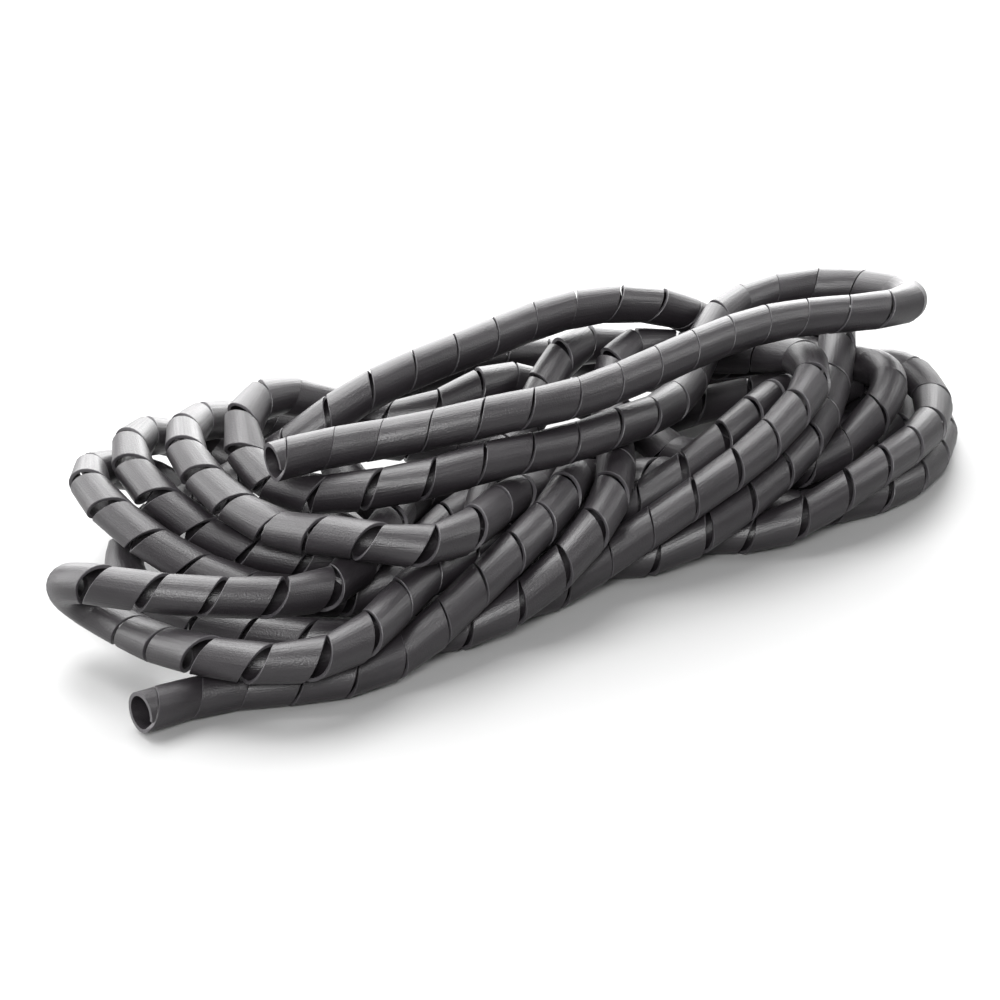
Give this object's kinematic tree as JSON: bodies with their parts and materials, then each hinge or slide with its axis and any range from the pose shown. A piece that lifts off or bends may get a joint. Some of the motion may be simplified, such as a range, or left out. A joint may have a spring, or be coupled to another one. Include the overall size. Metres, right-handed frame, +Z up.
{
  "type": "spiral cable wrap",
  "caption": "Black plastic spiral cable wrap: a tube slit into a helix, stored as one long flat loose hank with both ends open.",
  "frame": {"origin": "middle of the hank's footprint, on the floor that it lies on", "axes": "+X along the hank towards the upper right loop, +Z up, +Y to the back, away from the side with the lower open end"},
  "size_m": [0.3185, 0.1445, 0.0633],
  "materials": {
    "black_polyethylene": "satin extruded black polyethylene with fine lengthwise streaks"
  },
  "bodies": {
    "root": {"spiral_wrap": "black_polyethylene"}
  },
  "joints": []
}
